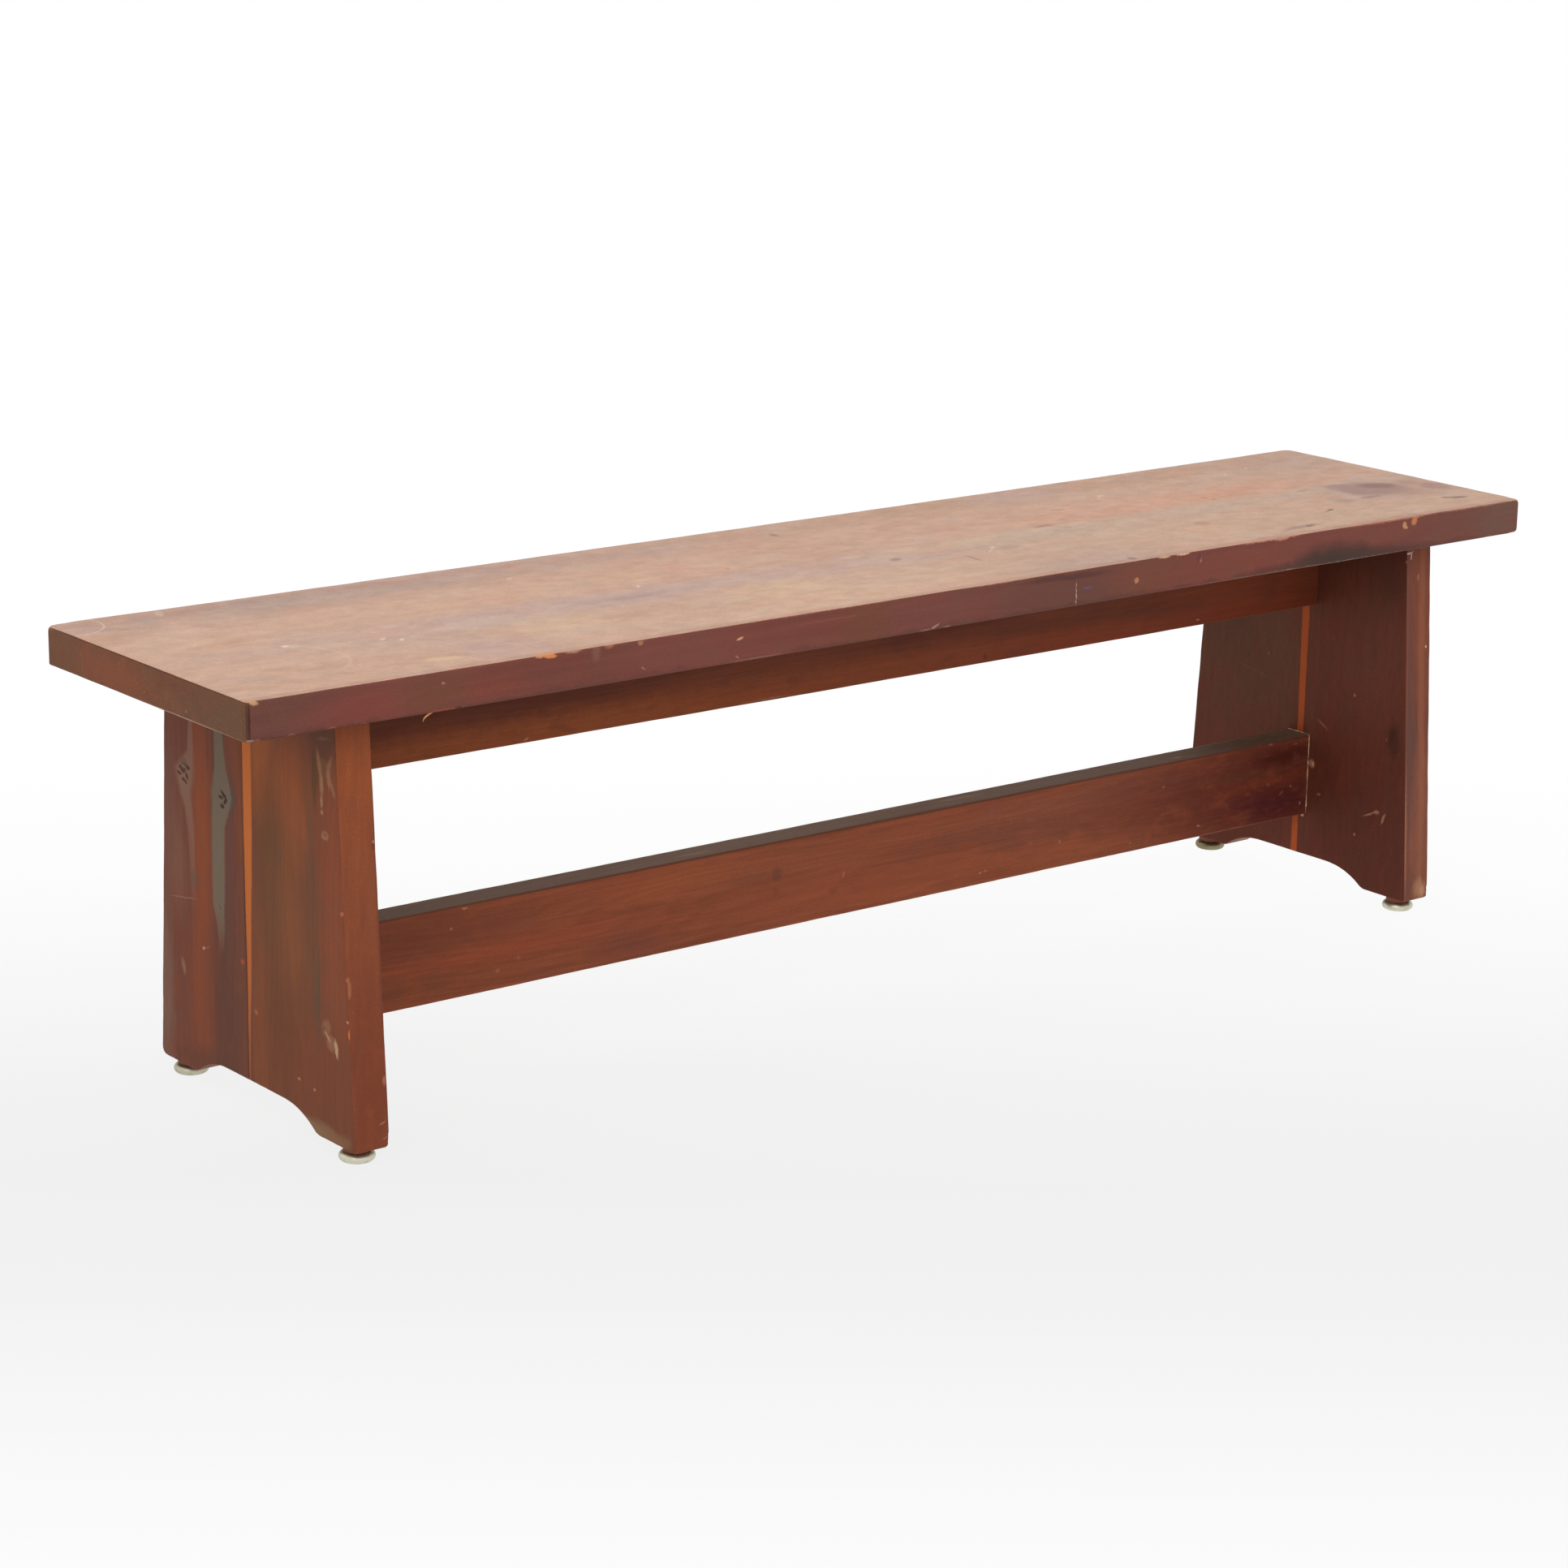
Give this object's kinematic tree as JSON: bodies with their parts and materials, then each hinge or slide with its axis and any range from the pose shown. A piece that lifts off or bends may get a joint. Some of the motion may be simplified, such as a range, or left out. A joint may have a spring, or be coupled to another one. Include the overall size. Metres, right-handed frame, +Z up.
{
  "type": "plank trestle bench",
  "caption": "Backless plank bench: glued plank seat on flared plank ends with arched feet, a rail under the seat, a low stretcher and metal cushion glides.",
  "frame": {"origin": "on the floor, under the middle of the seat", "axes": "+X along the bench to the right, seen from the front; +Y to the back, across the seat; +Z up"},
  "size_m": [1.64, 0.367, 0.463],
  "materials": {
    "seat_wood": "worn satin varnish over reddish stained softwood",
    "panel_wood": "satin varnish, dark red-brown stain with grey streaks",
    "rail_wood": "satin varnish, red-brown stain",
    "dowel_wood": "bare hardwood",
    "nickel_plate": "polished nickel plate, slightly tarnished",
    "glide_rubber": "aged dark rubber",
    "steel": "plain steel wire"
  },
  "bodies": {
    "root": {"left_back_glide_cup": "nickel_plate", "left_back_glide_cushion": "glide_rubber", "left_back_glide_nail": "steel", "left_front_glide_cup": "nickel_plate", "left_front_glide_cushion": "glide_rubber", "left_front_glide_nail": "steel", "left_panel_back_board": "panel_wood", "left_panel_front_board": "panel_wood", "left_panel_seam_dowels": "dowel_wood", "left_rail_dowels": "dowel_wood", "left_seat_dowels": "dowel_wood", "left_stretcher_dowels": "dowel_wood", "right_back_glide_cup": "nickel_plate", "right_back_glide_cushion": "glide_rubber", "right_back_glide_nail": "steel", "right_front_glide_cup": "nickel_plate", "right_front_glide_cushion": "glide_rubber", "right_front_glide_nail": "steel", "right_panel_back_board": "panel_wood", "right_panel_front_board": "panel_wood", "right_panel_seam_dowels": "dowel_wood", "right_rail_dowels": "dowel_wood", "right_seat_dowels": "dowel_wood", "right_stretcher_dowels": "dowel_wood", "seat_back_board": "seat_wood", "seat_front_board": "seat_wood", "seat_screws": "steel", "seat_seam_dowels": "dowel_wood", "stretcher": "rail_wood", "top_rail": "rail_wood"}
  },
  "joints": []
}
